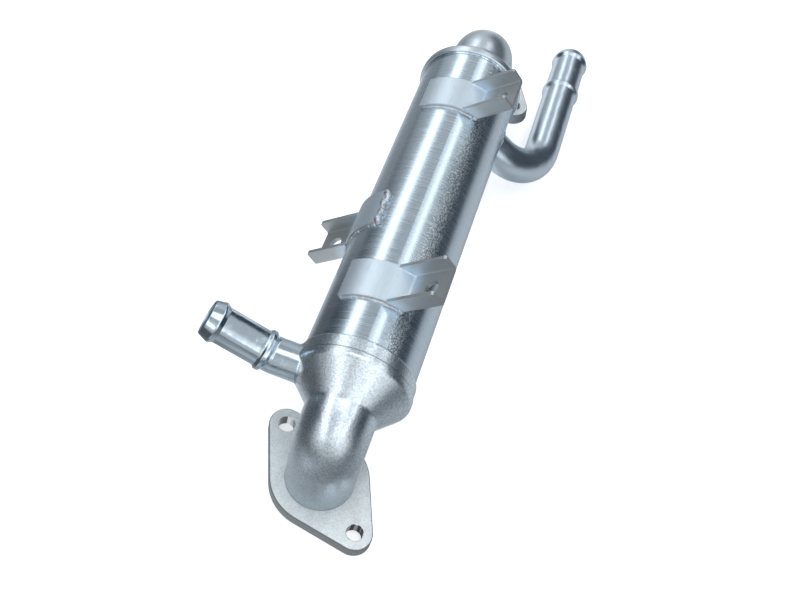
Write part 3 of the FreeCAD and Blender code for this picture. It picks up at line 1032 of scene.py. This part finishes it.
class COOLER_OT_welds(Operator):
    """Welds along the straps and round the bent pipe, and braze round both ends of the shell"""

    bl_idname = "cooler.welds"
    bl_label = "Welds"

    def execute(self, context):
        finish = context.scene.cooler_finish
        sizes = context.scene.cooler_sizes
        rough = metal("weld_metal", paint_weld(finish))
        seed = 3
        for name, (centre, sign) in BRACKETS.items():
            label = name.replace("bracket", "weld")
            for edge, place in ((-1, "near"), (1, "far")):
                line = strap_edge(centre + edge * (STRAP_HALF + 0.35), sign)
                bead(label + "_" + place, line, sizes.weld, seed, rough)
                seed += 1
            if sign < 0:
                bead(label + "_end", strap_end(centre, sign), 2.0 * sizes.weld, seed + 40, rough, 0.85)
                lower = strap_edge(centre - STRAP_HALF - 0.5, sign)[LOWER_FROM:]
                bead(label + "_lower", lower, 1.4 * sizes.weld, seed + 41, rough, 0.6)
            else:
                bead(label + "_corner", strap_corner(centre), 1.5 * sizes.weld, seed + 42, rough, 0.5)
        braze = metal("drawn_stub", paint_pipe(finish, STUB_ROUGH))
        for label, x in (("inlet", INLET_EDGE + 0.2), ("outlet", OUTLET_EDGE - 0.2)):
            line = round_line(x, SHELL_R, np.linspace(0, 2 * np.pi, 200))
            bead("braze_" + label, line, 0.7, seed + 60, braze, 0.1)
        bead("weld_bent_pipe", pipe_root(PIPE_R + 0.4 * sizes.root_weld), sizes.root_weld, seed, rough, 0.2)
        return {"FINISHED"}


def bead(name, line, radius, seed, material, lumps=0.35):
    """One weld along a line, with three rings to each millimetre."""
    length = np.linalg.norm(np.diff(line, axis=0), axis=1).sum()
    rings = ripple_tube(line, radius, int(length * 3) + 8, seed, lumps)
    grid_piece(name, rings, material, hoop=False)


def round_line(x, radius, angle):
    """Places round the shell's axis: x, then radius * sin and cos of the angle from straight up."""
    return np.stack([x + 0 * angle, radius * np.sin(angle), AXIS_Z + radius * np.cos(angle)], 1)


def strap_edge(x, sign):
    """An arc on the shell beside a strap."""
    first, last = (FOLD_ANGLE, FREE_ANGLES[1]) if sign > 0 else (FREE_ANGLES[-1], SIDE_FOLD - 12.0)
    return round_line(x, SHELL_R + 0.1, np.radians(np.linspace(first, last, EDGE_PLACES)))


def strap_end(x, sign):
    """A wavering line across the end of a strap: the angle moves by a sine of the place along it."""
    along = np.linspace(-STRAP_HALF - 0.8, STRAP_HALF + 0.8, 60)
    angle = np.radians(FREE_ANGLES[sign] - 0.6 + 1.1 * np.sin(along * 0.7))
    return round_line(x + along, SHELL_R + 1.0, angle)


def strap_corner(x):
    """A short line where the strap's near edge turns out into the channel."""
    angle = np.radians(np.linspace(FOLD_ANGLE - 3.0, FOLD_ANGLE + 4.0, 20))
    return round_line(x - STRAP_HALF - 0.6, SHELL_R + 0.7, angle)


def pipe_root(radius):
    """Where a pipe of that radius meets the shell: t = sqrt(R * R - (r sin a) ** 2) along the pipe."""
    way = pipe_way()
    a = np.linspace(0, 2 * np.pi * 1.01, 200)[:, None]
    reach = np.sqrt((SHELL_R + 0.2) ** 2 - (radius * np.sin(a)) ** 2)
    across = radius * (np.cos(a) * X_WAY + np.sin(a) * np.cross(way, X_WAY))
    return np.array([PIPE_X, 0, AXIS_Z]) + reach * way + across


class COOLER_OT_core(Operator):
    """Plain steel on the tube bundle, its two headers and the baffles"""

    bl_idname = "cooler.core"
    bl_label = "Tube bundle"

    def execute(self, context):
        names = [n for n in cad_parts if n.startswith(("gas_tube", "baffle")) or n.endswith("header")]
        dress(names, metal("drawn_core", paint_core(context.scene.cooler_finish)))
        return {"FINISHED"}


def dress(names, material):
    """Puts a material on solids that keep their own mesh, through each object's material slots."""
    for name in names:
        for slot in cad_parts[name].material_slots:
            slot.link = "OBJECT"
            slot.material = material


OPERATORS = (
    COOLER_OT_stage,
    COOLER_OT_shell,
    COOLER_OT_gas_boxes,
    COOLER_OT_flanges,
    COOLER_OT_hose_stub,
    COOLER_OT_bent_pipe,
    COOLER_OT_brackets,
    COOLER_OT_welds,
    COOLER_OT_core,
)


class COOLER_PT_panel(Panel):
    bl_label = "Exhaust Gas Cooler"
    bl_idname = "COOLER_PT_panel"
    bl_space_type = "VIEW_3D"
    bl_region_type = "UI"
    bl_category = "Cooler"

    def draw(self, context):
        for group in (context.scene.cooler_sizes, context.scene.cooler_finish, context.scene.cooler_stage):
            box = self.layout.box()
            for name in group.__annotations__:
                box.prop(group, name)
        for operator in OPERATORS:
            self.layout.operator(operator.bl_idname)


GROUPS = {"cooler_sizes": CoolerSizes, "cooler_finish": CoolerFinish, "cooler_stage": CoolerStage}


def register():
    for name, group in GROUPS.items():
        bpy.utils.register_class(group)
        setattr(bpy.types.Scene, name, PointerProperty(type=group))
    for made in OPERATORS + (COOLER_PT_panel,):
        bpy.utils.register_class(made)


def unregister():
    for made in reversed(OPERATORS + (COOLER_PT_panel,)):
        bpy.utils.unregister_class(made)
    for name, group in reversed(list(GROUPS.items())):
        delattr(bpy.types.Scene, name)
        bpy.utils.unregister_class(group)


def main():
    """Makes everything, one operator after the other."""
    register()
    for operator in OPERATORS:
        getattr(bpy.ops.cooler, operator.bl_idname.split(".")[1])()


if __name__ == "__main__":
    main()
